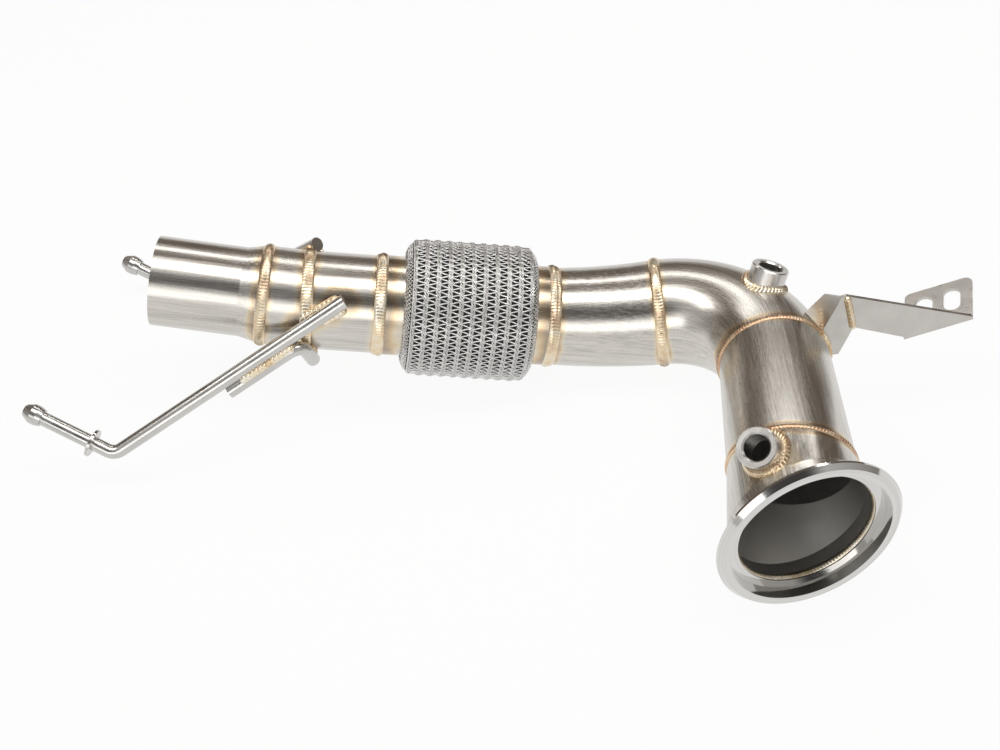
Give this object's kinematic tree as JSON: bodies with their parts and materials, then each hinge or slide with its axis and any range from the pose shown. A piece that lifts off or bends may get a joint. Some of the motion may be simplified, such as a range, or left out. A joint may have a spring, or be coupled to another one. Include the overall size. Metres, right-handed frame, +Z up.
{
  "type": "turbo downpipe",
  "caption": "Welded stainless exhaust downpipe with a clamp-flange inlet, a tight elbow, a braided flex section, sensor bungs, rod hangers and a slotted bracket.",
  "frame": {"origin": "middle of the outlet pipe's open end", "axes": "+X runs level from the outlet along the flex section toward the elbow, +Y away from the side that carries the inlet, +Z up as the part lies on a flat floor"},
  "size_m": [0.6657, 0.3494, 0.1308],
  "materials": {
    "stainless_pipe": "brushed, with straw and bronze heat tint beside the welds",
    "woven_wire": "knitted bright wire",
    "flex_inner": "plain rolled",
    "machined_flange": "turned and polished",
    "turned_bung": "turned",
    "hanger_rod": "drawn bright bar",
    "bracket_sheet": "rolled sheet, satin",
    "weld_bead": "rippled bead with gold and copper heat tint"
  },
  "bodies": {
    "root": {"bracket_arm": "bracket_sheet", "bracket_base": "bracket_sheet", "elbow_pipe": "stainless_pipe", "flex_bellows": "flex_inner", "flex_braid": "woven_wire", "flex_liner": "flex_inner", "front_brace_rod": "hanger_rod", "front_flex_collar": "stainless_pipe", "front_hanger_rod": "hanger_rod", "front_hanger_tip": "hanger_rod", "front_hanger_washer": "hanger_rod", "hanger_pipe": "hanger_rod", "inlet_cone": "stainless_pipe", "inlet_neck": "stainless_pipe", "lower_sensor_bung": "turned_bung", "mitre_ring": "stainless_pipe", "outlet_pipe": "stainless_pipe", "rear_flex_collar": "stainless_pipe", "rear_hanger_rod": "hanger_rod", "rear_hanger_tip": "hanger_rod", "rear_hanger_washer": "hanger_rod", "reducer_pipe": "stainless_pipe", "upper_sensor_bung": "turned_bung", "vband_flange": "machined_flange", "weld_brace_foot": "weld_bead", "weld_bracket_arm": "weld_bead", "weld_bracket_base": "weld_bead", "weld_cone": "weld_bead", "weld_elbow": "weld_bead", "weld_flange": "weld_bead", "weld_flex_front": "weld_bead", "weld_flex_rear": "weld_bead", "weld_front_brace": "weld_bead", "weld_front_hanger": "weld_bead", "weld_lower_bung": "weld_bead", "weld_mitre": "weld_bead", "weld_neck": "weld_bead", "weld_outlet": "weld_bead", "weld_rear_hanger": "weld_bead", "weld_upper_bung": "weld_bead"}
  },
  "joints": []
}
